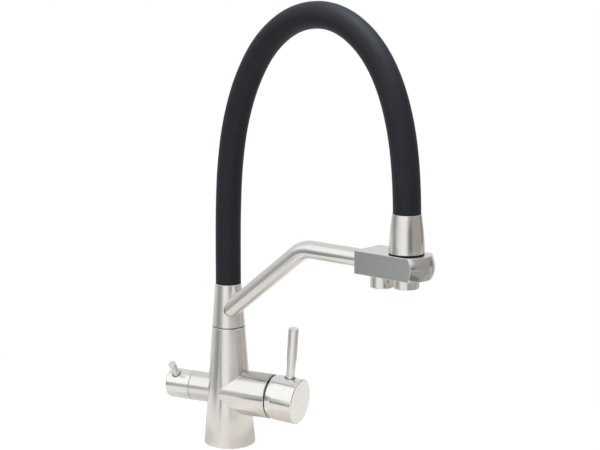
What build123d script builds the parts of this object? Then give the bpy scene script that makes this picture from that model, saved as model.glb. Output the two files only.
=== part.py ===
from build123d import *
import os
from math import cos, radians, sin, sqrt, tan

# Kitchen mixer tap with a flexible hose spout and a second waterway for filtered water.
# Sizes are in millimetres. Z is up and the deck is at zero. The mixer valve points
# along +X, the filter valve along -X, and the user stands at -Y.

# Clearances
running_gap = 0.06     # radial, where a piece turns or slides in a bore
seat_gap = 0.1         # radial, where a fixed piece sits in its pocket
film_gap = 0.05        # between flat faces that slide on each other
moving_gap = 0.4       # around a moving piece that isn't guided there

# One cone runs from the deck to the hose: the body below the seam, the collar above it
base_radius = 25.0
seam_height = 116.2
collar_height = 42.1   # from the seam to the top of the cone
hose_radius = 12.1
collar_lip = 0.7       # wall around the hose at the top of the cone
base_edge = 0.8
seam_edge = 0.4
lip_edge = 0.3
glide_thickness = 0.8
glide_recess = 0.5

# Underside of the body
gasket_inset = 1.0
gasket_width = 2.6
gasket_height = 1.5
gasket_land = 1.0      # between the gasket's groove and the inlet block
inlet_block_height = 16.0
inlet_radius = 4.5
inlet_depth = 11.0
inlet_circle = 9.5
hot_angle = 55.0       # the cold inlet mirrors the hot one, the filter inlet is at the back of the two
filter_inlet_angle = 180.0
stud_radius = 2.5
stud_depth = 13.0
stud_inset = 4.9
inlet_way_radius = 3.0

# Cross axis that both valves share
valve_height = 51.5
barrel_radius = 21.6
barrel_end = 47.5
barrel_edge = 0.5
boss_radius = 14.6
boss_end = 37.6

# Mixer cartridge, measured outwards along its axis from the body's axis
pocket_floor = 12.0
barrel_wall = 2.2
nut_ledge = 1.9
housing_floor = 3.0
housing_wall = 2.8
fixed_disc_thickness = 2.8
moving_disc_thickness = 3.4
disc_room = 4.5        # how far the moving disc slides off centre
carrier_plate = 3.0
carrier_boss_radius = 6.2
turret_flange = 1.8
turret_neck_radius = 12.4
nut_thickness = 4.8
spanner_slot_width = 4.0
spanner_slot_depth = 2.0
pivot_stand = 8.2      # from the barrel's end out to the pivot
pivot_cover = 3.2      # turret beyond the pivot
pivot_pin_radius = 2.0
pivot_pin_inset = 1.0
spindle_arm = 22.8
spindle_ball_radius = 3.0
spindle_neck_radius = 1.8
spindle_width = 8.0
spindle_depth = 7.0
port_radius = 3.0
port_offset = 8.2
seal_wire = 0.8

# Handle cap and its lever, drawn square to the valve and then tilted about the pivot
lever_tilt = 4.1
lever_travel = 15.0
cap_swell = 0.3        # radius the cap has over the barrel
ball_gap = 0.4         # from the cap's ball-shaped rear to the barrel's mouth
cap_rear_gap = 1.2
cap_length = 28.3
cap_edge = 1.2
cap_rim = 1.8
cap_hollow_depth = 10.8
spindle_grip = 9.0
lever_inset = 12.2     # from the cap's end to the lever's axis
lever_foot_radius = 4.4
lever_grip_radius = 5.0
lever_step = 38.8
lever_end = 70.8
lever_edge = 0.6
lever_stud_radius = 3.0
lever_stud_depth = 6.5
lever_seat_depth = 1.0
grub_radius = 2.5
grub_length = 6.0
key_way_radius = 1.6

# Filter valve, measured outwards along its axis from the body's axis
filter_floor = 16.0
filter_pocket_radius = 9.5
headwork_floor = 2.0
headwork_wall = 2.8
headwork_nose = 10.0
filter_disc_thickness = 2.2
filter_stem_radius = 4.0
filter_way_radius = 2.4
filter_way_offset = 4.5
knob_length = 26.45
knob_edge = 2.5
knob_ring = 0.9
knob_ring_recess = 0.3
stem_grip = 10.0
filter_pin_radius = 3.9
filter_pin_inset = 10.1
filter_pin_seat = 1.0
filter_pin_end = 29.0
filter_pin_angle = 33.6
filter_pin_edge = 0.4
filter_stud_radius = 2.0
filter_stud_depth = 6.5
knob_screw_radius = 2.0
knob_screw_length = 5.0

# Swivel between body and collar
spout_angle = -16.4
spigot_radius = 9.94
spigot_root_radius = 11.5
spigot_root = 22.0     # length held in the body
collar_web = 4.0
mixed_way_radius = 3.4
mixed_way_offset = 4.4
filtered_way_radius = 2.0
filtered_way_offset = 6.6
chamber_height = 8.0   # ring space that feeds the arm at any angle
chamber_depth = 1.8
oring_wire = 0.9
low_oring_place = 9.3
high_oring_inset = 3.5
groove_place = 5.0
groove_depth = 1.2
collar_screw_radius = 2.0
collar_screw_length = 4.0

# Support arm, which carries the filtered water to the docking block
reach = 215.8
arm_radius = 8.4
arm_wall = 1.6
arm_rise = 37.6
arm_root_rise = 12.4   # from the seam to where the arm's axis meets the body's axis
arm_bend_radius = 32.0
arm_plug = 7.0
arm_toe = 1.3          # degrees about the sleeve's axis, so the arm's root stands forward of the body's axis

# Docking block at the end of the arm
block_bottom = 195.6
block_height = 20.6
block_width = 35.1
block_margin = 6.6     # behind the filter outlet
block_dome = 24.5      # ball-shaped front end around the sleeve's axis, at mid height
block_edge = 0.5
dock_ring_width = 3.6
dock_ring_height = 0.7
outlet_gap = 4.9
filter_outlet_radius = 10.2
filter_outlet_drop = 12.4
filter_thread_radius = 8.4
filter_thread_length = 7.0
outlet_edge = 1.2
outlet_wall = 2.4
aerator_recess = 0.6
aerator_length = 8.0
aerator_hole_radius = 0.8
aerator_hole_pitch = 2.7
aerator_ring_count = 2
aerator_hole_count = 6     # in the first ring, and as many more in each ring around it

# Spray head that stands in the block
nozzle_radius = 11.4
nozzle_drop = 9.4
nozzle_shoulder = 1.8
nozzle_shoulder_height = 12.6
sleeve_length = 33.8
sleeve_wall = 4.3      # from the nozzle to the sleeve's outside at its foot
sleeve_belly = 0.5
sleeve_rim = 0.7
sleeve_edge = 0.5
sleeve_lip = 2.6

# Hose: a silicone cover over a water hose. Its route lies in the spout's upright plane: straight
# out of the collar, over the points of the arch (outwards and up), and straight into the sleeve.
hose_wall = 2.9
hose_play = 0.2
water_hose_wall = 2.7
hose_grip = 6.0
sleeve_grip = 10.8
hose_foot_rise = 37.7
hose_head_rise = 44.5
barb_length = 19.0
barb_count = 3
nipple_flange = 2.0
nipple_wall = 2.3
arch_points = [
    (0.7, 230.0),
    (3.1, 271.0),
    (10.7, 314.2),
    (26.5, 355.4),
    (52.0, 391.7),
    (90.5, 415.3),
    (135.9, 416.6),
    (176.5, 391.4),
    (203.0, 346.8),
]
arc_share = 0.45       # share of the shorter run that each bend of the hose takes

# Heights, radii and places that follow from the sizes above
cone_top_radius = hose_radius + collar_lip
collar_top = seam_height + collar_height
collar_bottom = seam_height + glide_thickness
collar_bore = spigot_radius + running_gap
collar_floor = collar_top - hose_grip
spigot_top = collar_floor - collar_web - moving_gap
gasket_radius = base_radius - gasket_inset
inlet_block_radius = gasket_radius - gasket_width - gasket_land
stud_circle = inlet_block_radius - stud_inset
nut_mouth_radius = barrel_radius - barrel_wall
pocket_radius = nut_mouth_radius - nut_ledge
pivot_place = barrel_end + pivot_stand
pivot_reach = pivot_place + pivot_cover
cap_radius = barrel_radius + cap_swell
cap_rear = barrel_end + cap_rear_gap
cap_rear_radius = sqrt(cap_radius ** 2 - (pivot_place - cap_rear) ** 2)
cap_end = cap_rear + cap_length
lever_place = cap_end - lever_inset
knob_bottom = boss_end + knob_ring + film_gap
knob_end = knob_bottom + knob_length
filter_pin_place = knob_end - filter_pin_inset
stem_end = knob_bottom + stem_grip
arm_root_height = seam_height + arm_root_rise
arm_height = block_bottom + block_height / 2
chamber_middle = arm_root_height + collar_bore * tan(radians(arm_rise))
outlet_pitch = nozzle_radius + filter_outlet_radius + outlet_gap
block_rear = outlet_pitch + filter_outlet_radius + block_margin
block_top = block_bottom + block_height
sleeve_foot = block_top + dock_ring_height + seat_gap
sleeve_top = sleeve_foot + sleeve_length
sleeve_foot_radius = nozzle_radius + sleeve_wall
sleeve_top_radius = hose_radius + sleeve_rim
sleeve_middle_radius = (sleeve_foot_radius + sleeve_top_radius) / 2 + sleeve_belly
nozzle_shoulder_radius = nozzle_radius + nozzle_shoulder
nozzle_top = sleeve_foot + moving_gap + nozzle_shoulder_height
water_hose_radius = hose_radius - hose_wall - hose_play
hose_head_end = sleeve_top - sleeve_grip


# Shapes that many pieces share

def turned(*points):
    outline = Polyline(*[(radius, 0, height) for radius, height in points], close=True)
    return revolve(make_face(outline.edges()), Axis.Z)


def rod(radius, low, high):
    return Pos(0, 0, low) * Cylinder(radius, high - low, align=(Align.CENTER, Align.CENTER, Align.MIN))


def pipe(outer, inner, low, high):
    return rod(outer, low, high) - rod(inner, low, high)


def swept(radius, path):
    return sweep(Plane(path @ 0, z_dir=path % 0) * Circle(radius), path=path)


def cone_radius(height):
    return base_radius + (cone_top_radius - base_radius) * height / collar_top


# Places: a piece drawn along Z is laid along a valve's axis, or turned with the spout

mixer_place = Plane(origin=(0, 0, valve_height), x_dir=(0, 0, 1), z_dir=(1, 0, 0)).location
filter_place = Plane(origin=(0, 0, valve_height), x_dir=(0, 0, 1), z_dir=(-1, 0, 0)).location
spout_place = Location((0, 0, 0), (0, 0, spout_angle))
head_place = spout_place * Pos(reach, 0, 0)
block_place = head_place * Rotation(0, 0, arm_toe)
arm_place = block_place * Pos(-reach, 0, 0)
pivot_tilt = Pos(0, 0, pivot_place) * Rotation(0, -lever_tilt, 0) * Pos(0, 0, -pivot_place)
handle_place = mixer_place * pivot_tilt
pin_place = filter_place * Rotation(0, 0, -filter_pin_angle) * Pos(0, 0, filter_pin_place)
upright = Rotation(0, 90, 0)


# Body and its underside

def inlet_places():
    return [(hot_angle, "hot"), (-hot_angle, "cold"), (filter_inlet_angle, "filter")]


def around(angle, circle):
    return Pos(circle * cos(radians(angle)), circle * sin(radians(angle)), 0)


def valve_ways():
    hot_and_cold = [
        around(angle, inlet_circle) * rod(inlet_way_radius, 0, valve_height)
        for angle, water in inlet_places() if water != "filter"
    ]
    inlet_x = inlet_circle * cos(radians(hot_angle))
    ports = [mixer_place * Pos(0, side * port_offset, 0) * rod(port_radius, inlet_x, pocket_floor)
             for side in (1, -1)]
    mixed = mixer_place * Pos(port_offset, 0, 0) * rod(port_radius, mixed_way_offset, pocket_floor)
    mixed_rise = Pos(mixed_way_offset, 0, 0) * rod(mixed_way_radius, valve_height + port_offset, seam_height)
    low_way = filter_place * Pos(-filter_way_offset, 0, 0) * rod(filter_way_radius, inlet_circle, filter_floor)
    inlet_rise = Pos(-inlet_circle, 0, 0) * rod(filter_way_radius, 0, valve_height - filter_way_offset)
    high_way = filter_place * Pos(filter_way_offset, 0, 0)
    high_way *= rod(filter_way_radius, filtered_way_offset, filter_floor)
    outlet_rise = Pos(-filtered_way_offset, 0, 0)
    outlet_rise *= rod(filtered_way_radius, valve_height + filter_way_offset, seam_height)
    return hot_and_cold + ports + [mixed, mixed_rise, low_way, inlet_rise, high_way, outlet_rise]


def body_shell():
    cone = turned(
        (0, 0),
        (base_radius - base_edge, 0),
        (cone_radius(base_edge), base_edge),
        (cone_radius(seam_height - seam_edge), seam_height - seam_edge),
        (cone_radius(seam_height) - seam_edge, seam_height),
        (0, seam_height),
    )
    barrel = turned(
        (0, 0),
        (barrel_radius, 0),
        (barrel_radius, barrel_end - barrel_edge),
        (barrel_radius - barrel_edge, barrel_end),
        (0, barrel_end),
    )
    pocket = turned(
        (0, pocket_floor),
        (pocket_radius, pocket_floor),
        (pocket_radius, nut_seat()),
        (nut_mouth_radius, nut_seat()),
        (nut_mouth_radius, barrel_end),
        (0, barrel_end),
    )
    shell = cone + mixer_place * barrel + filter_place * rod(boss_radius, 0, boss_end)
    shell -= mixer_place * pocket
    shell -= mixer_place * Pos(0, 0, pivot_place) * Sphere(cap_radius + ball_gap)
    shell -= filter_place * rod(filter_pocket_radius, filter_floor, boss_end)
    shell -= rod(inlet_block_radius + seat_gap, 0, inlet_block_height)
    shell -= pipe(gasket_radius, gasket_radius - gasket_width, 0, gasket_height)
    shell -= rod(spigot_root_radius + seat_gap, seam_height - spigot_root, seam_height)
    for way in valve_ways():
        shell -= way
    return shell


def base_gasket():
    return pipe(gasket_radius - seat_gap, gasket_radius - gasket_width + seat_gap, 0, gasket_height)


def inlet_block():
    block = rod(inlet_block_radius, 0, inlet_block_height)
    for angle, water in inlet_places():
        way = filter_way_radius if water == "filter" else inlet_way_radius
        block -= around(angle, inlet_circle) * rod(inlet_radius, 0, inlet_depth)
        block -= around(angle, inlet_circle) * rod(way, 0, inlet_block_height)
    for angle in (90, -90):
        block -= around(angle, stud_circle) * rod(stud_radius, 0, stud_depth)
    return block


# Mixer cartridge

def housing_bottom():
    return pocket_floor + seal_wire / 4


def fixed_disc_bottom():
    return housing_bottom() + housing_floor


def moving_disc_bottom():
    return fixed_disc_bottom() + fixed_disc_thickness + film_gap


def carrier_bottom():
    return moving_disc_bottom() + moving_disc_thickness


def carrier_top():
    return pivot_place - spindle_arm + spindle_ball_radius


def turret_bottom():
    return carrier_top() + moving_gap


def nut_seat():
    return turret_bottom() + turret_flange + film_gap


def nut_bottom():
    return nut_seat() + film_gap


def chamber_radius():
    return pocket_radius - seat_gap - housing_wall


def port_places():
    return [Pos(0, port_offset, 0), Pos(0, -port_offset, 0), Pos(port_offset, 0, 0)]


def cartridge_housing():
    bottom = housing_bottom()
    housing = rod(pocket_radius - seat_gap, bottom, nut_seat())
    housing -= rod(chamber_radius(), fixed_disc_bottom(), nut_seat())
    seal_seat = 2 * seal_wire
    for place in port_places():
        housing -= place * rod(port_radius, bottom, fixed_disc_bottom())
        housing -= place * rod(port_radius + seal_seat + seat_gap, bottom, pocket_floor + seal_seat)
    return mixer_place * housing


def cartridge_seals():
    seal = Pos(0, 0, pocket_floor + seal_wire) * Torus(port_radius + seal_wire, seal_wire)
    return mixer_place * Compound(children=[place * seal for place in port_places()])


def fixed_disc():
    disc = rod(chamber_radius() - seat_gap, fixed_disc_bottom(), fixed_disc_bottom() + fixed_disc_thickness)
    for place in port_places():
        disc -= place * rod(port_radius, fixed_disc_bottom(), moving_disc_bottom())
    return mixer_place * disc


def moving_disc_radius():
    return chamber_radius() - disc_room - moving_gap


def moving_disc():
    disc = rod(moving_disc_radius(), moving_disc_bottom(), carrier_bottom())
    trough = Pos(port_offset / 2, 0, 0) * SlotOverall(port_offset + 2 * port_radius, 2 * port_radius)
    disc -= Pos(0, 0, moving_disc_bottom()) * extrude(trough, moving_disc_thickness / 2)
    return mixer_place * disc


def ball_lift():
    return spindle_arm * sin(radians(lever_tilt))


def disc_carrier():
    carrier = rod(moving_disc_radius(), carrier_bottom(), carrier_bottom() + carrier_plate)
    socket_place = Pos(ball_lift(), 0, 0)
    carrier += socket_place * rod(carrier_boss_radius, carrier_bottom(), carrier_top())
    carrier -= socket_place * rod(spindle_ball_radius + running_gap, carrier_bottom() + carrier_plate / 2,
                                  carrier_top())
    return mixer_place * carrier


def turret_slot():
    swing = (pivot_place - turret_bottom()) * tan(radians(lever_travel)) + spindle_depth / 2
    room = Box(2 * (swing + moving_gap), spindle_width + 2 * running_gap, 2 * (pivot_reach - turret_bottom()))
    return Pos(0, 0, pivot_reach) * room


def cartridge_turret():
    turret = rod(chamber_radius() - running_gap, turret_bottom(), turret_bottom() + turret_flange)
    turret += rod(turret_neck_radius, turret_bottom(), pivot_reach)
    turret -= turret_slot()
    turret -= Pos(0, 0, pivot_place) * Rotation(90, 0, 0) * Cylinder(pivot_pin_radius, 2 * turret_neck_radius)
    return mixer_place * turret


def spindle_pivot_pin():
    pin = Cylinder(pivot_pin_radius, 2 * (turret_neck_radius - pivot_pin_inset))
    return mixer_place * Pos(0, 0, pivot_place) * Rotation(90, 0, 0) * pin


def cartridge_nut():
    top = nut_bottom() + nut_thickness
    nut = pipe(nut_mouth_radius - seat_gap, turret_neck_radius + moving_gap, nut_bottom(), top)
    for angle in (0, 90, 180, 270):
        slot = Box(spanner_slot_depth * 2, spanner_slot_width, spanner_slot_depth * 2)
        nut -= Rotation(0, 0, angle) * Pos(turret_neck_radius + moving_gap, 0, top) * slot
    return mixer_place * nut


def cartridge_spindle():
    ball_place = pivot_place - spindle_arm
    neck = rod(spindle_neck_radius, ball_place, pivot_place)
    top = turret_room_end() + spindle_grip
    low = turret_bottom() + moving_gap
    bar = Pos(0, 0, (low + top) / 2) * Box(spindle_depth, spindle_width, top - low)
    spindle = Pos(0, 0, ball_place) * Sphere(spindle_ball_radius) + neck + bar
    bore = Cylinder(pivot_pin_radius + running_gap, 2 * spindle_width)
    spindle -= Pos(0, 0, pivot_place) * Rotation(90, 0, 0) * bore
    return handle_place * spindle


# Handle

def turret_room_radius():
    swing = radians(lever_travel)
    return turret_neck_radius * cos(swing) + pivot_cover * sin(swing) + moving_gap


def turret_room_end():
    swing = radians(lever_travel)
    return pivot_place + pivot_cover * cos(swing) + turret_neck_radius * sin(swing) + moving_gap


def grub_place():
    return turret_room_end() + spindle_grip / 2


def handle_cap():
    drum = fillet(rod(cap_radius, pivot_place, cap_end).edges().group_by(Axis.Z)[-1], cap_edge)
    ball = Pos(0, 0, pivot_place) * Sphere(cap_radius)
    cap = drum + (ball & rod(cap_radius, cap_rear, pivot_place))
    cap -= rod(cap_rear_radius - cap_rim, cap_rear, cap_rear + cap_hollow_depth)
    cap -= rod(turret_room_radius(), cap_rear, turret_room_end())
    socket = Box(spindle_depth + 2 * seat_gap, spindle_width + 2 * seat_gap, 2 * (spindle_grip + seat_gap))
    cap -= Pos(0, 0, turret_room_end()) * socket
    stud_hole = rod(lever_stud_radius + seat_gap, cap_radius - lever_stud_depth - seat_gap, cap_radius)
    foot_seat = rod(lever_foot_radius + moving_gap, cap_radius - lever_seat_depth, 2 * cap_radius)
    cap -= Pos(0, 0, lever_place) * upright * stud_hole
    cap -= Pos(0, 0, lever_place) * upright * foot_seat
    cap -= Pos(0, 0, grub_place()) * upright * rod(key_way_radius, -2 * cap_radius, 0)
    cap -= Pos(0, 0, grub_place()) * upright * rod(grub_radius + seat_gap, -spindle_depth / 2 - grub_length, 0)
    return handle_place * cap


def lever_pin():
    foot = cap_radius - lever_seat_depth
    pin = turned(
        (0, cap_radius - lever_stud_depth),
        (lever_stud_radius, cap_radius - lever_stud_depth),
        (lever_stud_radius, foot),
        (lever_foot_radius, foot),
        (lever_foot_radius, lever_step - lever_edge),
        (lever_grip_radius, lever_step),
        (lever_grip_radius, lever_end - lever_edge),
        (lever_grip_radius - lever_edge, lever_end),
        (0, lever_end),
    )
    return handle_place * Pos(0, 0, lever_place) * upright * pin


def handle_grub_screw():
    tip = -spindle_depth / 2
    screw = rod(grub_radius, tip - grub_length, tip)
    screw -= rod(key_way_radius, tip - grub_length, tip - grub_length / 2)
    return handle_place * Pos(0, 0, grub_place()) * upright * screw


# Filter valve

def headwork_bottom():
    return filter_floor + seat_gap


def filter_disc_bottom():
    return headwork_bottom() + headwork_floor


def filter_moving_bottom():
    return filter_disc_bottom() + filter_disc_thickness + film_gap


def filter_chamber_radius():
    return filter_pocket_radius - seat_gap - headwork_wall


def headwork_shoulder():
    return boss_end - headwork_nose


def filter_headwork():
    headwork = rod(filter_pocket_radius - seat_gap, headwork_bottom(), boss_end)
    headwork -= rod(filter_chamber_radius(), filter_disc_bottom(), headwork_shoulder())
    headwork -= rod(filter_stem_radius + running_gap, headwork_shoulder(), boss_end)
    for side in (1, -1):
        headwork -= Pos(side * filter_way_offset, 0, 0) * rod(filter_way_radius, headwork_bottom(),
                                                             filter_disc_bottom())
    return filter_place * headwork


def filter_fixed_disc():
    low = filter_disc_bottom()
    disc = rod(filter_chamber_radius() - seat_gap, low, low + filter_disc_thickness)
    for side in (1, -1):
        disc -= Pos(side * filter_way_offset, 0, 0) * rod(filter_way_radius / 2, low, low + filter_disc_thickness)
    return filter_place * disc


def filter_moving_disc():
    low = filter_moving_bottom()
    disc = rod(filter_chamber_radius() - running_gap, low, low + filter_disc_thickness)
    trough = SlotOverall(2 * filter_way_offset + filter_way_radius, filter_way_radius)
    disc -= Pos(0, 0, low) * extrude(trough, filter_disc_thickness / 2)
    return filter_place * disc


def filter_spindle():
    low = filter_moving_bottom() + filter_disc_thickness
    spindle = rod(filter_chamber_radius() - running_gap, low, headwork_shoulder() - film_gap)
    spindle += rod(filter_stem_radius, low, stem_end)
    return filter_place * spindle


def filter_glide_ring():
    ring = pipe(boss_radius - knob_ring_recess, filter_stem_radius + moving_gap, boss_end, boss_end + knob_ring)
    return filter_place * ring


def filter_knob():
    knob = rod(boss_radius, knob_bottom, knob_end)
    knob = fillet(knob.edges().group_by(Axis.Z)[-1], knob_edge)
    knob -= rod(filter_stem_radius + seat_gap, knob_bottom, stem_end + seat_gap)
    screw_way = rod(key_way_radius, -2 * boss_radius, 0)
    screw_hole = rod(knob_screw_radius + seat_gap, -filter_stem_radius - seat_gap - knob_screw_length, 0)
    for hole in (screw_way, screw_hole):
        knob -= Pos(0, 0, stem_end - stem_grip / 2) * upright * hole
    knob = filter_place * Rotation(0, 0, -filter_pin_angle) * knob
    seat = rod(filter_stud_radius + seat_gap, boss_radius - filter_stud_depth - seat_gap, boss_radius)
    seat += rod(filter_pin_radius + moving_gap / 2, boss_radius - filter_pin_seat, 2 * boss_radius)
    return knob - pin_place * upright * seat


def filter_pin():
    foot = boss_radius - filter_pin_seat
    pin = turned(
        (0, boss_radius - filter_stud_depth),
        (filter_stud_radius, boss_radius - filter_stud_depth),
        (filter_stud_radius, foot),
        (filter_pin_radius, foot),
        (filter_pin_radius, filter_pin_end - filter_pin_edge),
        (filter_pin_radius - filter_pin_edge, filter_pin_end),
        (0, filter_pin_end),
    )
    return pin_place * upright * pin


def filter_knob_screw():
    tip = -filter_stem_radius - seat_gap
    screw = rod(knob_screw_radius, tip - knob_screw_length, tip)
    screw -= rod(key_way_radius / 2, tip - knob_screw_length, tip - knob_screw_length / 2)
    place = filter_place * Rotation(0, 0, -filter_pin_angle) * Pos(0, 0, stem_end - stem_grip / 2)
    return place * upright * screw


# Swivel

def oring_heights():
    return [collar_bottom + low_oring_place, spigot_top - high_oring_inset]


def groove_height():
    return collar_bottom + groove_place


def swivel_spigot():
    spigot = rod(spigot_root_radius, seam_height - spigot_root, seam_height)
    spigot += rod(spigot_radius, seam_height, spigot_top)
    chamber_floor = spigot_radius - chamber_depth
    half = chamber_height / 2
    spigot -= pipe(2 * spigot_radius, chamber_floor, chamber_middle - half, chamber_middle + half)
    for height in oring_heights():
        spigot -= pipe(2 * spigot_radius, spigot_radius - 2 * oring_wire, height - oring_wire, height + oring_wire)
    screw_room = collar_screw_radius + moving_gap
    spigot -= pipe(spigot_radius + seat_gap, spigot_radius - groove_depth,
                   groove_height() - screw_room, groove_height() + screw_room)
    spigot -= Pos(mixed_way_offset, 0, 0) * rod(mixed_way_radius, 0, spigot_top)
    spigot -= Pos(-filtered_way_offset, 0, 0) * rod(filtered_way_radius, 0, chamber_middle)
    return spigot


def swivel_seals():
    ring = Torus(spigot_radius - oring_wire, oring_wire)
    return Compound(children=[Pos(0, 0, height) * ring for height in oring_heights()])


def swivel_glide_ring():
    return pipe(cone_radius(seam_height) - glide_recess, spigot_radius + moving_gap, seam_height, collar_bottom)


def collar_cone():
    return turned(
        (0, collar_bottom),
        (cone_radius(collar_bottom) - seam_edge, collar_bottom),
        (cone_radius(collar_bottom + seam_edge), collar_bottom + seam_edge),
        (cone_radius(collar_top - lip_edge), collar_top - lip_edge),
        (cone_top_radius - lip_edge, collar_top),
        (0, collar_top),
    )


def swivel_collar():
    collar = collar_cone()
    collar -= rod(collar_bore, collar_bottom, collar_floor - collar_web)
    collar -= rod(barb_radius() + seat_gap, collar_floor - collar_web, collar_floor)
    collar -= rod(hose_radius + seat_gap, collar_floor, collar_top)
    waterway = Pos(0, 0, arm_root_height) * Rotation(0, 90 - arm_rise, 0) * rod(mixed_way_radius, 0, reach / 4)
    collar = spout_place * collar - arm_place * waterway
    return collar - screw_place() * rod(collar_screw_radius + seat_gap, -base_radius, 0)


def screw_place():
    return spout_place * Pos(0, 0, groove_height()) * upright


def collar_screw():
    tip = spigot_radius - groove_depth + moving_gap
    screw = rod(collar_screw_radius, -tip - collar_screw_length, -tip)
    screw -= rod(key_way_radius / 2, -tip - collar_screw_length, -tip - collar_screw_length / 2)
    return screw_place() * screw


# Arm and docking block

def arm_path():
    corner = (arm_height - arm_root_height) / tan(radians(arm_rise))
    return FilletPolyline(
        (0, 0, arm_root_height),
        (corner, 0, arm_height),
        (reach - block_rear + arm_plug, 0, arm_height),
        radius=arm_bend_radius,
    )


def support_arm():
    path = arm_path()
    tube = swept(arm_radius, path) - swept(arm_radius - arm_wall, path)
    far_side = Pos(-base_radius, 0, arm_root_height) * Box(2 * base_radius, 4 * arm_radius, 4 * base_radius)
    return arm_place * (tube - far_side) - collar_cone()


def dock_block():
    bar = Box(block_rear, block_width, block_height, align=(Align.MAX, Align.CENTER, Align.CENTER))
    nose = Box(block_dome, block_width, block_height, align=(Align.MIN, Align.CENTER, Align.CENTER))
    block = Pos(0, 0, arm_height) * (bar + (nose & Sphere(block_dome)))
    block = fillet(block.edges(), block_edge)
    block -= rod(nozzle_radius + running_gap, block_bottom, block_top)
    arm_seat = upright * rod(arm_radius + seat_gap, -block_rear, -block_rear + arm_plug + seat_gap)
    water_way = upright * rod(arm_radius / 2, -block_rear, -outlet_pitch)
    block -= Pos(0, 0, arm_height) * arm_seat
    block -= Pos(0, 0, arm_height) * water_way
    block -= Pos(-outlet_pitch, 0, 0) * rod(filter_thread_radius + seat_gap, block_bottom,
                                            block_bottom + filter_thread_length + moving_gap)
    return block_place * block


def dock_ring():
    bore = nozzle_radius + moving_gap
    return head_place * pipe(bore + dock_ring_width, bore, block_top, block_top + dock_ring_height)


def outlet(radius, low, high):
    return fillet(rod(radius, low, high).edges().group_by(Axis.Z)[0], outlet_edge)


def aerator(radius, low):
    insert = rod(radius, low, low + aerator_length)
    for ring in range(aerator_ring_count + 1):
        count = max(1, aerator_hole_count * ring)
        for step in range(count):
            place = Rotation(0, 0, 360 * step / count) * Pos(ring * aerator_hole_pitch, 0, 0)
            insert -= place * rod(aerator_hole_radius, low, low + aerator_length)
    return insert


def filter_outlet():
    low = block_bottom - filter_outlet_drop
    thread_top = block_bottom + filter_thread_length
    body = outlet(filter_outlet_radius, low, block_bottom)
    body += rod(filter_thread_radius, block_bottom, thread_top)
    body -= rod(filter_outlet_radius - outlet_wall, low, low + aerator_recess + aerator_length)
    body -= rod(arm_radius / 2, low, thread_top)
    return block_place * Pos(-outlet_pitch, 0, 0) * body


def filter_aerator():
    low = block_bottom - filter_outlet_drop + aerator_recess
    insert = aerator(filter_outlet_radius - outlet_wall - seat_gap, low)
    return block_place * Pos(-outlet_pitch, 0, 0) * insert


# Spray head

def nozzle_foot():
    return block_bottom - nozzle_drop


def nozzle_bore():
    return nozzle_radius - outlet_wall


def spray_nozzle():
    shoulder = sleeve_foot + moving_gap
    nozzle = outlet(nozzle_radius, nozzle_foot(), nozzle_top)
    nozzle += rod(nozzle_shoulder_radius, shoulder, nozzle_top)
    nozzle -= rod(nozzle_bore(), nozzle_foot(), nozzle_top - outlet_wall)
    nozzle -= rod(barb_radius() + seat_gap, nozzle_foot(), nozzle_top)
    return head_place * nozzle


def spray_aerator():
    return head_place * aerator(nozzle_bore() - seat_gap, nozzle_foot() + aerator_recess)


def spray_sleeve():
    hose_bore = hose_radius + seat_gap
    lip_bore = water_hose_radius + moving_gap
    thread_bore = nozzle_shoulder_radius + seat_gap
    outside = ThreePointArc(
        (sleeve_foot_radius, 0, sleeve_foot + sleeve_edge),
        (sleeve_middle_radius, 0, sleeve_foot + sleeve_length / 2),
        (sleeve_top_radius, 0, sleeve_top),
    )
    inside = Polyline(
        (sleeve_top_radius, 0, sleeve_top),
        (hose_bore, 0, sleeve_top),
        (hose_bore, 0, hose_head_end),
        (lip_bore, 0, hose_head_end),
        (lip_bore, 0, hose_head_end - sleeve_lip),
        (thread_bore, 0, hose_head_end - sleeve_lip),
        (thread_bore, 0, sleeve_foot),
        (sleeve_foot_radius - sleeve_edge, 0, sleeve_foot),
        (sleeve_foot_radius, 0, sleeve_foot + sleeve_edge),
    )
    return head_place * revolve(make_face(outside.edges() + inside.edges()), Axis.Z)


# Hose and its two nipples

def barb_radius():
    return water_hose_radius - water_hose_wall - seat_gap


def nipple(flange_low, thread_length):
    flange_top = flange_low + nipple_flange
    barb_step = barb_length / barb_count
    neck = barb_radius() - nipple_wall / 4
    points = [(0, flange_low - thread_length), (barb_radius(), flange_low - thread_length)]
    points += [(barb_radius(), flange_low), (water_hose_radius, flange_low)]
    points += [(water_hose_radius, flange_top)]
    for barb in range(barb_count):
        low = flange_top + barb * barb_step
        points += [(neck, low), (neck, low + barb_step / 3), (barb_radius(), low + barb_step / 3)]
    points += [(neck, flange_top + barb_length), (0, flange_top + barb_length)]
    bore = rod(barb_radius() - nipple_wall, flange_low - thread_length, flange_top + barb_length)
    return turned(*points) - bore


def foot_nipple():
    return spout_place * nipple(collar_floor, collar_web)


def head_nipple():
    return head_place * nipple(nozzle_top, outlet_wall)


def hose_path(low_end, head_end):
    points = [Vector(0, 0, low_end), Vector(0, 0, collar_floor + hose_foot_rise)]
    points += [Vector(along, 0, up) for along, up in arch_points]
    points += [Vector(reach, 0, hose_head_end + hose_head_rise), Vector(reach, 0, head_end)]
    runs = [after - before for before, after in zip(points, points[1:])]
    radii = []
    for before, after in zip(runs, runs[1:]):
        turn = radians(before.get_angle(after))
        radii.append(arc_share * min(before.length, after.length) / tan(turn / 2))
    return FilletPolyline(*points, radius=radii), radii


def hose(outer, wall, low_end, head_end, name):
    path, radii = hose_path(low_end, head_end)
    tube = swept(outer, path) - swept(outer - wall, path)
    section = Circle(outer).area - Circle(outer - wall).area
    print(name, "length", round(path.length, 1), "volume ratio", round(tube.volume / section / path.length, 4),
          "radii", [round(radius) for radius in radii])
    return spout_place * tube


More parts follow.
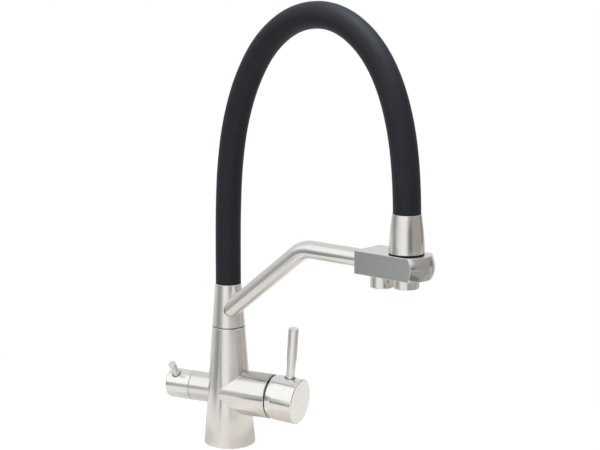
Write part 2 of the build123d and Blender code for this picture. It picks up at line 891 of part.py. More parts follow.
def silicone_hose():
    return hose(hose_radius, hose_wall, collar_floor, hose_head_end, "silicone_hose")


def water_hose():
    low_end = collar_floor + nipple_flange
    head_end = nozzle_top + nipple_flange
    return hose(water_hose_radius, water_hose_wall, low_end, head_end, "water_hose")


pieces = [
    body_shell, base_gasket, inlet_block,
    cartridge_housing, cartridge_seals, fixed_disc, cartridge_nut,
    moving_disc, disc_carrier, cartridge_turret, spindle_pivot_pin,
    cartridge_spindle, handle_cap, lever_pin, handle_grub_screw,
    filter_headwork, filter_fixed_disc, filter_glide_ring,
    filter_moving_disc, filter_spindle, filter_knob, filter_pin, filter_knob_screw,
    swivel_spigot, swivel_seals, swivel_glide_ring,
    swivel_collar, collar_screw, support_arm, dock_block, dock_ring,
    filter_outlet, filter_aerator, foot_nipple, silicone_hose, water_hose,
    spray_sleeve, spray_nozzle, spray_aerator, head_nipple,
]

os.makedirs("parts", exist_ok=True)
for make_piece in pieces:
    export_step(make_piece(), f"parts/{make_piece.__name__}.step")
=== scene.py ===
import math
import bmesh
import bpy
import numpy as np
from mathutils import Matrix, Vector


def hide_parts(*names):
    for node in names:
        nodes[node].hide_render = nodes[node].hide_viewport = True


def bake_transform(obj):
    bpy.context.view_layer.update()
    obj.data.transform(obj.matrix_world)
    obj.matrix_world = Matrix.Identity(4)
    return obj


# Kitchen mixer tap: brushed steel body and arm, black silicone hose, filter knob on the left
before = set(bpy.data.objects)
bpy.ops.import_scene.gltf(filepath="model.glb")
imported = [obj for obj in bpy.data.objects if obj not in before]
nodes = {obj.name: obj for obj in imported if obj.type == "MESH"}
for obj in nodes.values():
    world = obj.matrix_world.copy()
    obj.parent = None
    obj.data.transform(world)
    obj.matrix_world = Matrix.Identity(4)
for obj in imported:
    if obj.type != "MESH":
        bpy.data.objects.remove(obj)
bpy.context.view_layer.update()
scene = bpy.context.scene
scene.view_settings.view_transform = "Standard"
print("frame loaded,", len(nodes), "nodes")


# Camera at the photograph's angle
cameraSetup = {
    "place": (0.6443, -1.1726, 0.4566),  # metres, from the centre of the base
    "azimuth": 25.84,                    # degrees round to the mixer's side
    "pitch": 10.25,                      # degrees down
    "lens": 85.39,                       # millimetres, like the sensor
    "sensor": 36,
}
cameraTurn = math.radians(cameraSetup["azimuth"])


def addCamera():
    data = bpy.data.cameras.new("photoCamera")
    data.sensor_width = cameraSetup["sensor"]
    data.lens = cameraSetup["lens"]
    camera = bpy.data.objects.new("photoCamera", data)
    camera.location = cameraSetup["place"]
    camera.rotation_euler = (math.radians(90 - cameraSetup["pitch"]), 0, cameraTurn)
    scene.collection.objects.link(camera)
    scene.camera = camera


addCamera()
print("camera placed")


# Hose: one tube along a smooth spline, in the spout's upright plane
hose = {
    "radius": 0.0121,
    "bore": 0.0063,
    "length": 0.5451,
    "planeTurn": -16.4,   # degrees from the mixer's side
    "sides": 64,
    "smoothness": 10,
    "order": 3,           # of the spline
    "sharpFrom": 40,      # degrees between faces at the tube's rims
    "route": [            # metres outwards and up
        (0.0, 0.1523), (0.0, 0.1900), (0.0007, 0.2300), (0.0031, 0.2710), (0.0107, 0.3142),
        (0.0265, 0.3554), (0.0520, 0.3917), (0.0905, 0.4153), (0.1359, 0.4166), (0.1765, 0.3914),
        (0.2030, 0.3468), (0.2158, 0.2845), (0.2158, 0.2400),
    ],
}
planeTurn = math.radians(hose["planeTurn"])
armWay = Vector((math.cos(planeTurn), math.sin(planeTurn), 0))
armSide = Vector((-armWay.y, armWay.x, 0))


def hoseLine():
    curve = bpy.data.curves.new("hoseRoute", "CURVE")
    curve.dimensions = "3D"
    curve.resolution_u = hose["smoothness"]
    spline = curve.splines.new("NURBS")
    spline.points.add(len(hose["route"]) - 1)
    for point, (along, up) in zip(spline.points, hose["route"]):
        point.co = (*(armWay * along + Vector((0, 0, up))), 1)
    spline.order_u = hose["order"]
    spline.use_endpoint_u = True
    route = bpy.data.objects.new("hoseRoute", curve)
    scene.collection.objects.link(route)
    line = bpy.data.meshes.new_from_object(route)
    points = [vertex.co.copy() for vertex in line.vertices]
    bpy.data.objects.remove(route)
    return points


def tubeAlong(points, radius, bore, sides):
    mesh = bmesh.new()
    walls = []
    for wall in (radius, bore):
        rings = []
        for place, point in enumerate(points):
            before = points[max(place - 1, 0)]
            after = points[min(place + 1, len(points) - 1)]
            across = armSide.cross((after - before).normalized())
            ring = []
            for side in range(sides):
                turn = 2 * math.pi * side / sides
                offset = armSide * math.cos(turn) + across * math.sin(turn)
                ring.append(mesh.verts.new(point + offset * wall))
            rings.append(ring)
        walls.append(rings)
    outer, inner = walls
    strips = list(zip(outer, outer[1:])) + list(zip(inner[1:], inner))
    strips += [(inner[0], outer[0]), (outer[-1], inner[-1])]
    for first, second in strips:
        for side in range(sides):
            following = (side + 1) % sides
            mesh.faces.new((first[side], first[following], second[following], second[side]))
    bmesh.ops.recalc_face_normals(mesh, faces=mesh.faces)
    for face in mesh.faces:
        face.smooth = True
    data = bpy.data.meshes.new("siliconeHose")
    mesh.to_mesh(data)
    mesh.free()
    return data


def addHose():
    points = hoseLine()
    data = tubeAlong(points, hose["radius"], hose["bore"], hose["sides"])
    data.set_sharp_from_angle(angle=math.radians(hose["sharpFrom"]))
    piece = bpy.data.objects.new("siliconeHose", data)
    scene.collection.objects.link(piece)
    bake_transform(piece)
    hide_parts("silicone_hose", "water_hose")
    return piece


hosePiece = addHose()
for piece in (hosePiece, nodes["foot_nipple"], nodes["head_nipple"]):
    piece.visible_glossy = False  # the photographed steel mirrors no hose
print("hose made")


# Node helpers: a value given to a socket is either another socket or a constant
def feed(tree, value, socket):
    if isinstance(value, bpy.types.NodeSocket):
        tree.links.new(value, socket)
    else:
        socket.default_value = value


def fourParts(colour):
    return (*colour, 1) if isinstance(colour, tuple) else (colour, colour, colour, 1)


def feedColour(tree, colour, socket):
    feed(tree, colour if isinstance(colour, bpy.types.NodeSocket) else fourParts(colour), socket)


def addNode(tree, kind, **values):
    node = tree.nodes.new(kind)
    for name, value in values.items():
        if hasattr(node, name):
            setattr(node, name, value)
        else:
            node.inputs[name].default_value = value
    return node


def mathNode(tree, operation, first, second=0):
    node = addNode(tree, "ShaderNodeMath", operation=operation)
    feed(tree, first, node.inputs[0])
    feed(tree, second, node.inputs[1])
    return node.outputs[0]


def vectorNode(tree, operation, first, second=(0, 0, 0)):
    node = addNode(tree, "ShaderNodeVectorMath", operation=operation)
    feed(tree, first, node.inputs[0])
    feed(tree, second, node.inputs[1])
    return node.outputs["Value" if operation in ("LENGTH", "DOT_PRODUCT") else "Vector"]


def weighed(tree, values, weights):
    first, second = (mathNode(tree, "MULTIPLY", value, weight) for value, weight in zip(values, weights))
    return mathNode(tree, "ADD", first, second)


def axisParts(tree, place):
    node = tree.nodes.new("ShaderNodeSeparateXYZ")
    feed(tree, place, node.inputs[0])
    return node.outputs


def objectPlace(tree):
    return tree.nodes.new("ShaderNodeTexCoord").outputs["Object"]


def rampNode(tree, factor, stops):
    node = tree.nodes.new("ShaderNodeValToRGB")
    elements = node.color_ramp.elements
    while len(elements) < len(stops):
        elements.new(1)
    for element, (place, colour) in zip(elements, stops):
        element.position = place
        element.color = fourParts(colour)
    feed(tree, factor, node.inputs["Fac"])
    return node.outputs["Color"]


def mapRange(tree, value, ends, low=0, high=1):
    node = tree.nodes.new("ShaderNodeMapRange")
    for socket, number in zip(("From Min", "From Max", "To Min", "To Max"), (*ends, low, high)):
        node.inputs[socket].default_value = number
    feed(tree, value, node.inputs["Value"])
    return node.outputs["Result"]


def mixColours(tree, factor, first, second):
    node = addNode(tree, "ShaderNodeMix", data_type="RGBA")
    feed(tree, factor, node.inputs["Factor"])
    feedColour(tree, first, node.inputs[6])  # sockets 6 and 7 and output 2 are the node's colours
    feedColour(tree, second, node.inputs[7])
    return node.outputs[2]


def mixShaders(tree, factor, first, second):
    node = tree.nodes.new("ShaderNodeMixShader")
    feed(tree, factor, node.inputs["Fac"])
    feed(tree, first, node.inputs[1])
    feed(tree, second, node.inputs[2])
    return node.outputs[0]


def glowNode(tree, colour):
    node = tree.nodes.new("ShaderNodeEmission")
    feedColour(tree, colour, node.inputs["Color"])
    return node.outputs[0]


def addRelief(tree, shader, height, strength, distance):
    bump = addNode(tree, "ShaderNodeBump", Strength=strength, Distance=distance)
    feed(tree, height, bump.inputs["Height"])
    feed(tree, bump.outputs["Normal"], shader.inputs["Normal"])


def newMaterial(name):
    material = bpy.data.materials.new(name)
    material.use_nodes = True
    tree = material.node_tree
    return material, tree, tree.nodes["Principled BSDF"]


def bareMaterial(name):
    material, tree, shader = newMaterial(name)
    tree.nodes.remove(shader)
    return material, tree, tree.nodes["Material Output"].inputs["Surface"]


def groupTree(name, inputs, outputs):
    tree = bpy.data.node_groups.new(name, "ShaderNodeTree")
    for socket, kind in inputs:
        tree.interface.new_socket(socket, in_out="INPUT", socket_type=kind)
    for socket, kind in outputs:
        tree.interface.new_socket(socket, in_out="OUTPUT", socket_type=kind)
    return tree, tree.nodes.new("NodeGroupInput"), tree.nodes.new("NodeGroupOutput")


def groupNode(tree, group):
    node = tree.nodes.new("ShaderNodeGroup")
    node.node_tree = group
    return node


# Brushed lines and the soft cloudiness of handled metal, shared by all the steel
def brushedGroup():
    tree, given, put = groupTree(
        "brushedGrain",
        [("Vector", "NodeSocketVector"), ("Along", "NodeSocketVector")],
        [("Lines", "NodeSocketFloat"), ("Clouds", "NodeSocketFloat")],
    )
    stretched = vectorNode(tree, "MULTIPLY", given.outputs["Vector"], given.outputs["Along"])
    fine = addNode(tree, "ShaderNodeTexNoise", Scale=1.0, Detail=3.0, Roughness=0.6)
    feed(tree, stretched, fine.inputs["Vector"])
    clouds = addNode(tree, "ShaderNodeTexNoise", Scale=45.0, Detail=2.0, Roughness=0.5)
    feed(tree, given.outputs["Vector"], clouds.inputs["Vector"])
    feed(tree, fine.outputs["Fac"], put.inputs["Lines"])
    feed(tree, clouds.outputs["Fac"], put.inputs["Clouds"])
    return tree


brushedGrain = brushedGroup()
steelGrain = {
    "stops": (0.25, 0.75),    # of the lines, where the colour is darkest and lightest
    "weights": (0.6, 0.4),    # of the lines and the clouds in the roughness
    "spread": (0.3, 0.7),     # of the two together, where the steel is smoothest and roughest
    "relief": 0.0002,         # metres
}


# The two barrels stand out of the body's cone and are turned smoother; the arm's slope is brushed coarser.
# The mixer barrel's top is darkened with painted shade, and lines of painted shade lie where the arm and
# the two pins are let in.
bodyCone = {"foot": 0.025, "taper": 0.0771, "edge": (0.0004, 0.0012), "seam": (0.0009, 0.0003)}
barrelTop = {"heights": (0.0668, 0.0686), "side": (0.0, 0.005)}
armSlope = {"ends": (0.125, 0.085)}  # metres outwards along the arm
pinFeet = {"lever_pin": (0.0062, 0.0054), "filter_pin": (0.0049, 0.0045)}  # metres from each pin's axis
sameDigits = 6  # vertices that agree to so many places, in metres, are one


def outOfCone(tree, place):
    outwards = vectorNode(tree, "LENGTH", vectorNode(tree, "MULTIPLY", place, (1, 1, 0)))
    narrowing = mathNode(tree, "MULTIPLY", axisParts(tree, place)["Z"], bodyCone["taper"])
    cone = mathNode(tree, "SUBTRACT", bodyCone["foot"], narrowing)
    return mathNode(tree, "SUBTRACT", outwards, cone)


def barrelShare(tree, place):
    return mapRange(tree, outOfCone(tree, place), bodyCone["edge"])


# Painted shade along the mixer barrel's top, away from the body's cone
def barrelTopShadeShare(tree, place):
    parts = axisParts(tree, place)
    high = mapRange(tree, parts["Z"], barrelTop["heights"])
    top = mathNode(tree, "MULTIPLY", high, mapRange(tree, parts["X"], barrelTop["side"]))
    return mathNode(tree, "MULTIPLY", top, barrelShare(tree, place))


# Painted shade: a dark line where the arm is let into the body's cone
def armSeamShadeShare(tree, place):
    return mapRange(tree, outOfCone(tree, place), bodyCone["seam"])


# Painted shade: dark rings round the feet of the lever pin and the filter pin
def pinFootShadeShare(tree, place):
    share = 0
    for name, ends in pinFeet.items():
        corners = [vertex.co for vertex in nodes[name].data.vertices]
        spots = np.unique(np.round(corners, sameDigits), axis=0)
        middle = spots.mean(axis=0)
        way = np.linalg.svd(spots - middle, full_matrices=False)[2][0]
        across = vectorNode(tree, "CROSS_PRODUCT", vectorNode(tree, "SUBTRACT", place, middle), way)
        near = mapRange(tree, vectorNode(tree, "LENGTH", across), ends)
        share = mathNode(tree, "MAXIMUM", near, share)
    return share


def slopeShare(tree, place):
    return mapRange(tree, axisParts(tree, place)["X"], armSlope["ends"])


# Steel finishes: the grain is stretched along the way each piece was brushed
steelFinishes = {
    "uprightSteel": {
        "pieces": ["body_shell"],
        "grain": (2200, 2200, 14), "turn": 0, "dark": (0.735, 0.715, 0.69), "light": (0.82, 0.80, 0.775),
        "roughness": (0.15, 0.23), "bump": 0.02, "where": barrelShare, "there": (0.09, 0.14),
        "shade": barrelTopShadeShare, "depth": 0.33,
    },
    "collarSteel": {
        "pieces": ["swivel_collar"],
        "grain": (2200, 2200, 14), "turn": 0, "dark": (0.735, 0.715, 0.69), "light": (0.82, 0.80, 0.775),
        "roughness": (0.13, 0.20), "bump": 0.02,
    },
    "sleeveSteel": {
        "pieces": ["spray_sleeve"],
        "grain": (2600, 2600, 9), "turn": 0, "dark": (0.72, 0.705, 0.68), "light": (0.82, 0.80, 0.775),
        "roughness": (0.05, 0.10), "bump": 0.02,
    },
    "leverSteel": {
        "pieces": ["lever_pin"],
        "grain": (2200, 2200, 14), "turn": 0, "dark": (0.80, 0.785, 0.76), "light": (0.87, 0.855, 0.83),
        "roughness": (0.15, 0.21), "bump": 0.02,
    },
    "turnedSteel": {
        "pieces": ["handle_cap", "filter_knob"],
        "grain": (2200, 40, 40), "turn": 0, "dark": (0.79, 0.775, 0.75), "light": (0.86, 0.845, 0.82),
        "roughness": (0.11, 0.18), "bump": 0.015, "shade": pinFootShadeShare, "depth": 0.75,
    },
    "pinSteel": {
        "pieces": ["filter_pin"],
        "grain": (2200, 40, 40), "turn": 0, "dark": (0.79, 0.775, 0.75), "light": (0.86, 0.845, 0.82),
        "roughness": (0.11, 0.18), "bump": 0.015,
    },
    "armSteel": {
        "pieces": ["support_arm"],
        "grain": (40, 1400, 1400), "turn": 15.1, "dark": (0.75, 0.73, 0.705), "light": (0.82, 0.80, 0.775),
        "roughness": (0.08, 0.13), "bump": 0.015, "where": slopeShare, "there": (0.26, 0.32),
        "shade": armSeamShadeShare, "depth": 0.7,
    },
    "blockSteel": {
        "pieces": ["dock_block"],
        "grain": (12, 3400, 3400), "turn": 15.1, "dark": (0.60, 0.605, 0.61), "light": (0.69, 0.695, 0.70),
        "roughness": (0.11, 0.19), "bump": 0.03,
    },
    "outletSteel": {
        "pieces": ["filter_outlet", "spray_nozzle"],
        "grain": (40, 40, 2200), "turn": 0, "dark": (0.74, 0.72, 0.695), "light": (0.82, 0.80, 0.775),
        "roughness": (0.10, 0.17), "bump": 0.015,
    },
    # The cartridge nut, really brass, takes this dark steel as painted shade in the gap between barrel and
    # cap
    "screwSteelAndShadedNut": {
        "pieces": ["handle_grub_screw", "filter_knob_screw", "collar_screw", "spindle_pivot_pin",
                   "cartridge_nut", "cartridge_spindle"],
        "grain": (900, 900, 900), "turn": 0, "dark": (0.30, 0.30, 0.31), "light": (0.48, 0.48, 0.49),
        "roughness": (0.30, 0.45), "bump": 0.05,
    },
}


def steelMaterial(name, finish):
    material, tree, shader = newMaterial(name)
    place = objectPlace(tree)
    mapping = addNode(tree, "ShaderNodeMapping", Rotation=(0, 0, math.radians(finish["turn"])))
    feed(tree, place, mapping.inputs["Vector"])
    turned = mapping.outputs["Vector"]
    grain = groupNode(tree, brushedGrain)
    grain.inputs["Along"].default_value = finish["grain"]
    feed(tree, turned, grain.inputs["Vector"])
    lines = grain.outputs["Lines"]
    colour = rampNode(tree, lines, list(zip(steelGrain["stops"], (finish["dark"], finish["light"]))))
    # Painted shade: the colour is darkened towards black by the finish's shade share times its depth
    if "shade" in finish:
        shade = mathNode(tree, "MULTIPLY", finish["shade"](tree, place), finish["depth"])
        colour = mixColours(tree, shade, colour, 0)
    feed(tree, colour, shader.inputs["Base Color"])
    mixed = weighed(tree, (lines, grain.outputs["Clouds"]), steelGrain["weights"])
    rough = mapRange(tree, mixed, steelGrain["spread"], *finish["roughness"])
    if "where" in finish:
        there = mapRange(tree, mixed, steelGrain["spread"], *finish["there"])
        change = mathNode(tree, "SUBTRACT", there, rough)
        change = mathNode(tree, "MULTIPLY", finish["where"](tree, turned), change)
        rough = mathNode(tree, "ADD", rough, change)
    feed(tree, rough, shader.inputs["Roughness"])
    addRelief(tree, shader, lines, finish["bump"], steelGrain["relief"])
    shader.inputs["Metallic"].default_value = 1
    return material


def dress(pieces, material):
    for name in pieces:
        data = nodes[name].data
        data.materials.clear()
        data.materials.append(material)


for finishName, finishValues in steelFinishes.items():
    dress(finishValues["pieces"], steelMaterial(finishName, finishValues))
print("steel dressed")


# Rubber, plastic, ceramic and brass: a base colour with fine mottling and a little relief
plainGrain = {
    "stops": (0.35, 0.65),    # of the mottling, where the colour is darkest and lightest
    "weights": (0.5, 0.5),    # of the fine and the broad mottling
    "spread": (0.3, 0.7),     # of the mottling, where the surface is smoothest and roughest
    "relief": 0.0002,         # metres
}
plainFinishes = {
    "blackSilicone": {
        "pieces": [], "colours": ((0.0064, 0.0073, 0.0112), (0.0100, 0.0113, 0.0166)), "speck": 900,
        "roughness": (0.50, 0.62), "metallic": 0, "specular": 0.3, "bump": 0.03,
    },
    "blackRubber": {
        "pieces": ["base_gasket", "cartridge_seals", "swivel_seals", "dock_ring"],
        "colours": ((0.008, 0.008, 0.009), (0.016, 0.016, 0.018)), "speck": 1200,
        "roughness": (0.55, 0.7), "metallic": 0, "specular": 0.3, "bump": 0.08,
    },
    "darkPlastic": {
        "pieces": ["swivel_glide_ring"],
        "colours": ((0.03, 0.03, 0.032), (0.05, 0.05, 0.052)), "speck": 1500,
        "roughness": (0.4, 0.5), "metallic": 0, "specular": 0.5, "bump": 0.04,
    },
    "paleRing": {
        "pieces": ["filter_glide_ring"],
        "colours": ((0.42, 0.47, 0.55), (0.50, 0.55, 0.63)), "speck": 1500,
        "roughness": (0.3, 0.4), "metallic": 0, "specular": 0.5, "bump": 0.04,
    },
    "cartridgePlastic": {
        "pieces": ["cartridge_housing", "cartridge_turret", "disc_carrier"],
        "colours": ((0.60, 0.60, 0.57), (0.70, 0.70, 0.67)), "speck": 1200,
        "roughness": (0.4, 0.5), "metallic": 0, "specular": 0.5, "bump": 0.05,
    },
    "aeratorPlastic": {
        "pieces": ["filter_aerator", "spray_aerator"],
        "colours": ((0.36, 0.37, 0.38), (0.44, 0.45, 0.46)), "speck": 1500,
        "roughness": (0.35, 0.45), "metallic": 0, "specular": 0.5, "bump": 0.04,
    },
    "lappedCeramic": {
        "pieces": ["fixed_disc", "moving_disc", "filter_fixed_disc", "filter_moving_disc"],
        "colours": ((0.74, 0.73, 0.70), (0.80, 0.79, 0.76)), "speck": 2500,
        "roughness": (0.1, 0.18), "metallic": 0, "specular": 0.5, "bump": 0.01,
    },
    "machinedBrass": {
        "pieces": ["inlet_block", "filter_headwork", "filter_spindle", "swivel_spigot", "foot_nipple",
                   "head_nipple"],
        "colours": ((0.60, 0.42, 0.17), (0.74, 0.55, 0.26)), "speck": 700,
        "roughness": (0.25, 0.38), "metallic": 1, "specular": 0.5, "bump": 0.04,
    },
}


def mottleGroup():
    tree, given, put = groupTree(
        "mottle",
        [("Vector", "NodeSocketVector"), ("Speck", "NodeSocketFloat")],
        [("Fine", "NodeSocketFloat"), ("Broad", "NodeSocketFloat")],
    )
    fine = addNode(tree, "ShaderNodeTexNoise", Detail=4.0, Roughness=0.65)
    broad = addNode(tree, "ShaderNodeTexNoise", Scale=60.0, Detail=2.0, Roughness=0.5)
    for noise in (fine, broad):
        feed(tree, given.outputs["Vector"], noise.inputs["Vector"])
    feed(tree, given.outputs["Speck"], fine.inputs["Scale"])
    feed(tree, fine.outputs["Fac"], put.inputs["Fine"])
    feed(tree, broad.outputs["Fac"], put.inputs["Broad"])
    return tree


mottle = mottleGroup()


def plainMaterial(name, finish):
    material, tree, shader = newMaterial(name)
    specks = groupNode(tree, mottle)
    specks.inputs["Speck"].default_value = finish["speck"]
    feed(tree, objectPlace(tree), specks.inputs["Vector"])
    fine = specks.outputs["Fine"]
    mixed = weighed(tree, (fine, specks.outputs["Broad"]), plainGrain["weights"])
    colour = rampNode(tree, mixed, list(zip(plainGrain["stops"], finish["colours"])))
    feed(tree, colour, shader.inputs["Base Color"])
    rough = mapRange(tree, mixed, plainGrain["spread"], *finish["roughness"])
    feed(tree, rough, shader.inputs["Roughness"])
    addRelief(tree, shader, fine, finish["bump"], plainGrain["relief"])
    shader.inputs["Metallic"].default_value = finish["metallic"]
    shader.inputs["Specular IOR Level"].default_value = finish["specular"]
    return material


for finishName, finishValues in plainFinishes.items():
    finishMaterial = plainMaterial(finishName, finishValues)
    dress(finishValues["pieces"], finishMaterial)
    if finishName == "blackSilicone":
        hosePiece.data.materials.append(finishMaterial)
print("rubber, plastic, ceramic and brass dressed")


# Studio: each list of levels runs round the tap, in degrees from the camera's side, positive to the right
towardsCamera = Vector((math.sin(cameraTurn), -math.cos(cameraTurn), 0))
towardsRight = Vector((math.cos(cameraTurn), math.sin(cameraTurn), 0))


def roundRamp(tree, direction, levels):
    right = vectorNode(tree, "DOT_PRODUCT", direction, towardsRight)
    front = vectorNode(tree, "DOT_PRODUCT", direction, towardsCamera)
    turn = mathNode(tree, "ARCTAN2", right, front)
    share = mathNode(tree, "ADD", mathNode(tree, "DIVIDE", turn, 2 * math.pi), 0.5)
    return rampNode(tree, share, [((degrees + 180) / 360, level) for degrees, level in levels])


# Room: what the steel mirrors below the horizon, and then just above it, higher up and overhead
room = {
    "fill": 0.62,     # what lights everything besides
    "low": [
        (-180, 0.92), (-152, 0.86), (-137, 0.76), (-124, 0.66), (-110, 0.62), (-60, 0.60), (-48, 0.84),
        (-36, 0.95), (-16, 1.0), (2, 0.90), (18, 0.78), (31, 0.70), (50, (0.63, 0.61, 0.56)),
        (64, (0.45, 0.43, 0.38)), (82, (0.45, 0.43, 0.38)), (97, (0.58, 0.56, 0.51)), (109, 0.62),
        (113, 0.36), (119, 0.36), (124, 0.64), (141, 0.64), (153, 0.98), (180, 1.0),
    ],
    "higher": [       # degrees of elevation over which each takes over, and its levels
        ((-10.0, -7.0), [
            (-180, 0.80), (-150, 0.68), (-134, 0.58), (-120, 0.34), (-98, 0.34), (-82, 0.56), (-70, 0.76),
            (-55, 0.90), (-36, 1.0), (-22, 1.05), (-8, 0.94), (-1, 0.76), (5, 0.42), (14, 0.28), (25, 0.22),
            (36, (0.42, 0.40, 0.35)), (60, (0.43, 0.41, 0.35)), (88, (0.43, 0.40, 0.34)),
            (103, (0.45, 0.43, 0.38)), (112, 0.22), (122, 0.26), (134, 0.55), (150, 1.0), (180, 1.0),
        ]),
        ((1.0, 15.0), [
            (-180, 0.80), (-122, 0.78), (-100, 1.10), (-60, 1.16), (14, 1.05), (32, (0.52, 0.50, 0.46)),
            (60, (0.49, 0.47, 0.43)), (112, (0.47, 0.45, 0.41)), (130, 0.50), (150, 0.80), (180, 0.80),
        ]),
        ((36.0, 48.0), [
            (-180, 0.80), (-122, 0.78), (-100, 1.10), (-60, 1.16), (20, 1.05), (120, 1.0), (150, 0.80),
            (180, 0.80),
        ]),
    ],
}


def addWorld():
    world = bpy.data.worlds.new("studioWorld")
    world.use_nodes = True
    scene.world = world
    tree = world.node_tree
    tree.nodes.clear()
    direction = tree.nodes.new("ShaderNodeTexCoord").outputs["Generated"]
    steepness = mathNode(tree, "ARCSINE", axisParts(tree, direction)["Z"])
    elevation = mathNode(tree, "MULTIPLY", steepness, 180 / math.pi)
    mirrored = roundRamp(tree, direction, room["low"])
    for change, levels in room["higher"]:
        mirrored = mixColours(tree, mapRange(tree, elevation, change), mirrored,
                              roundRamp(tree, direction, levels))
    rays = tree.nodes.new("ShaderNodeLightPath").outputs
    lit = mixColours(tree, rays["Is Glossy Ray"], room["fill"], mirrored)
    seen = mixColours(tree, rays["Is Camera Ray"], lit, 1)
    background = tree.nodes.new("ShaderNodeBackground")
    feed(tree, seen, background.inputs["Color"])
    output = tree.nodes.new("ShaderNodeOutputWorld")
    feed(tree, background.outputs[0], output.inputs["Surface"])


# White sheet under the tap. The camera sees it lit, and the steel mirrors it with its end near the tap, as
# a glow that carries a painted shadow round the tap's foot.
sheet = {
    "size": 6.0,
    "drop": 0.0002,                   # metres below the tap's foot
    "white": 0.8,
    "whiteReach": (0.16, 0.42),       # metres from the tap where it turns to plain white for the camera
    "lift": 0.45,                     # what the camera sees of it besides its own light
    "end": [                          # metres from the tap, as mirrored
        (-180, 0.27), (-90, 0.27), (-72, 0.25), (-67, 0.28), (-63, 0.42), (-49, 0.42), (-46, 0.22),
        (-40, 0.21), (-20, 0.205), (0, 0.225), (15, 0.27), (180, 0.27),
    ],
    "softness": (-0.01, 0.02),
    "floorReach": ((0.60, 0.64), (1.7, 1.9)),  # where the floor beyond it starts and ends
    "shadeReach": (0.075, 0.105),     # metres from the tap over which the shade at its foot ends
    "shade": [
        (-180, 0.70), (-150, 0.72), (-126, 0.78), (-92, 0.71), (-74, 0.73), (-54, (0.88, 0.86, 0.83)),
        (-26, (1.0, 0.97, 0.94)), (-6, (0.91, 0.88, 0.84)), (7, (0.81, 0.77, 0.72)),
        (30, (0.77, 0.73, 0.68)), (64, (0.68, 0.64, 0.59)), (104, (0.66, 0.63, 0.59)), (120, 0.62),
        (142, 0.74), (180, 0.72),
    ],
    "colour": (0.93, 0.91, 0.885),
}


def sheetSeen(tree, away, cameraRay):
    lift = addNode(tree, "ShaderNodeEmission", Color=fourParts(1))
    feed(tree, mathNode(tree, "MULTIPLY", cameraRay, sheet["lift"]), lift.inputs["Strength"])
    lifted = tree.nodes.new("ShaderNodeAddShader")
    diffuse = addNode(tree, "ShaderNodeBsdfDiffuse", Color=fourParts(sheet["white"]))
    feed(tree, diffuse.outputs[0], lifted.inputs[0])
    feed(tree, lift.outputs[0], lifted.inputs[1])
    far = mathNode(tree, "MULTIPLY", mapRange(tree, away, sheet["whiteReach"]), cameraRay)
    return mixShaders(tree, far, lifted.outputs[0], glowNode(tree, 1))


def sheetMirrored(tree, place, away, clear):
    # Painted shadow round the tap's foot, in the glow that the steel mirrors
    shade = roundRamp(tree, place, sheet["shade"])
    colour = mixColours(tree, mapRange(tree, away, sheet["shadeReach"]), shade, sheet["colour"])
    past = mathNode(tree, "SUBTRACT", away, roundRamp(tree, place, sheet["end"]))
    near = mixShaders(tree, mapRange(tree, past, sheet["softness"]), glowNode(tree, colour), clear)
    starts, ends = (mapRange(tree, away, reach) for reach in sheet["floorReach"])
    floor = glowNode(tree, roundRamp(tree, place, room["low"]))
    return mixShaders(tree, mathNode(tree, "SUBTRACT", starts, ends), near, floor)


def sheetMaterial():
    material, tree, surface = bareMaterial("whiteSheet")
    place = objectPlace(tree)
    away = vectorNode(tree, "LENGTH", place)
    rays = tree.nodes.new("ShaderNodeLightPath").outputs
    clear = tree.nodes.new("ShaderNodeBsdfTransparent").outputs[0]
    seen = sheetSeen(tree, away, rays["Is Camera Ray"])
    above = mixShaders(tree, rays["Is Glossy Ray"], seen, sheetMirrored(tree, place, away, clear))
    underside = tree.nodes.new("ShaderNodeNewGeometry").outputs["Backfacing"]
    under = mathNode(tree, "MULTIPLY", underside, rays["Is Camera Ray"])
    feed(tree, mixShaders(tree, under, above, clear), surface)
    return material


def addSheet():
    half = sheet["size"] / 2
    corners = [(-half, -half, 0), (half, -half, 0), (half, half, 0), (-half, half, 0)]
    data = bpy.data.meshes.new("whiteSheet")
    data.from_pydata(corners, [], [(0, 1, 2, 3)])
    data.materials.append(sheetMaterial())
    floor = bpy.data.objects.new("whiteSheet", data)
    floor.location.z = -sheet["drop"]
    scene.collection.objects.link(floor)


# Cards that only reflections show
def addCard(name, corners, faces, material):
    data = bpy.data.meshes.new(name)
    data.from_pydata(corners, [], faces)
    data.materials.append(material)
    piece = bpy.data.objects.new(name, data)
    piece.visible_camera = False
    piece.visible_diffuse = False
    piece.visible_shadow = False
    scene.collection.objects.link(piece)


# Dark cards low on the left
sideCards = {
    "reach": 0.62,            # metres from the tap
    "sides": 16,
    "bands": [                # degrees round the tap and metres up
        (-128, -50, -0.5, 0.22), (-50, -39, -0.5, -0.01), (-50, -43, -0.01, 0.15),
    ],
    "fade": (0.14, 0.22),     # metres up where they fade out
    "change": (-0.02, 0.0),   # metres up where the high levels take over from the low ones
    "low": [
        (-128, 0.72), (-104, 0.66), (-93, 0.46), (-82, 0.40), (-72, 0.30), (-66, 0.34), (-56, 0.36),
        (-49, 0.27), (-39, 0.22),
    ],
    "high": [
        (-128, 0.72), (-104, 0.66), (-93, 0.46), (-82, 0.40), (-72, 0.32), (-66, 0.40), (-61, 0.45),
        (-57, 0.50), (-53, 0.60), (-48, 0.53), (-43, 0.48),
    ],
}


def sideCardMaterial():
    material, tree, surface = bareMaterial("darkCard")
    place = objectPlace(tree)
    height = axisParts(tree, place)["Z"]
    low, high = (roundRamp(tree, place, sideCards[name]) for name in ("low", "high"))
    colour = mixColours(tree, mapRange(tree, height, sideCards["change"]), low, high)
    clear = tree.nodes.new("ShaderNodeBsdfTransparent").outputs[0]
    faded = mixShaders(tree, mapRange(tree, height, sideCards["fade"]), glowNode(tree, colour), clear)
    feed(tree, faded, surface)
    return material


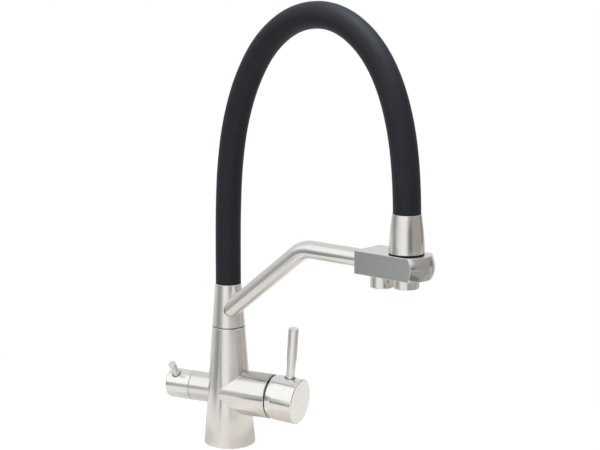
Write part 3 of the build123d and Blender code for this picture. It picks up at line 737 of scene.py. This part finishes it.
def addSideCards():
    corners = []
    faces = []
    for first, last, low, high in sideCards["bands"]:
        for step in range(sideCards["sides"] + 1):
            turn = math.radians(first + (last - first) * step / sideCards["sides"])
            foot = (towardsCamera * math.cos(turn) + towardsRight * math.sin(turn)) * sideCards["reach"]
            corners += [(foot.x, foot.y, low), (foot.x, foot.y, high)]
            if step:
                end = len(corners)
                faces.append((end - 4, end - 2, end - 1, end - 3))
    addCard("darkCards", corners, faces, sideCardMaterial())


# Two small cards in front of the block's ball-shaped end, a little below it
headCards = {
    "nearHeadCard": {
        "height": 0.16, "colour": (0.25, 0.24, 0.22),
        "corners": [(0.236, -0.108), (0.256, -0.078), (0.278, -0.080), (0.284, -0.182)],
    },
    "farHeadCard": {
        "height": 0.16, "colour": (0.45, 0.43, 0.40),
        "corners": [(0.284, -0.182), (0.278, -0.080), (0.480, -0.090), (0.357, -0.310)],
    },
}


def addHeadCards():
    for name, card in headCards.items():
        material, tree, surface = bareMaterial(name)
        feed(tree, glowNode(tree, card["colour"]), surface)
        addCard(name, [(x, y, card["height"]) for x, y in card["corners"]], [(0, 1, 2, 3)], material)


# Lamps, each with its place, aim, size and power. Reflections don't show the soft ones.
lamps = {
    "soft": [
        ((-0.9, -1.1, 1.5), (0.05, 0, 0.2), 0.9, 11),
        ((1.2, -0.7, 1.3), (0.05, 0, 0.2), 0.8, 7),
        ((0.1, 0.9, 1.7), (0.05, 0, 0.2), 1.0, 8),
    ],
    "sheen": ((0.23, -0.07, 1.37), (0.12, 0, 0.40), 0.9, 12),  # lights the hose alone
    "sheenColour": (0.80, 0.90, 1.0),
}


def addLamp(name, place, aim, size, power):
    data = bpy.data.lights.new(name, "AREA")
    data.size = size
    data.energy = power
    lamp = bpy.data.objects.new(name, data)
    lamp.location = place
    lamp.rotation_euler = (Vector(aim) - Vector(place)).to_track_quat("-Z", "Y").to_euler()
    scene.collection.objects.link(lamp)
    return lamp


def addLamps():
    for number, values in enumerate(lamps["soft"]):
        lamp = addLamp(f"softLamp{number}", *values)
        lamp.visible_glossy = False
    sheen = addLamp("sheenLamp", *lamps["sheen"])
    sheen.data.color = lamps["sheenColour"]
    sheen.visible_camera = False
    lit = bpy.data.collections.new("sheenPieces")
    lit.objects.link(hosePiece)
    sheen.light_linking.receiver_collection = lit


addWorld()
addSheet()
addSideCards()
addHeadCards()
addLamps()
print("studio lit")
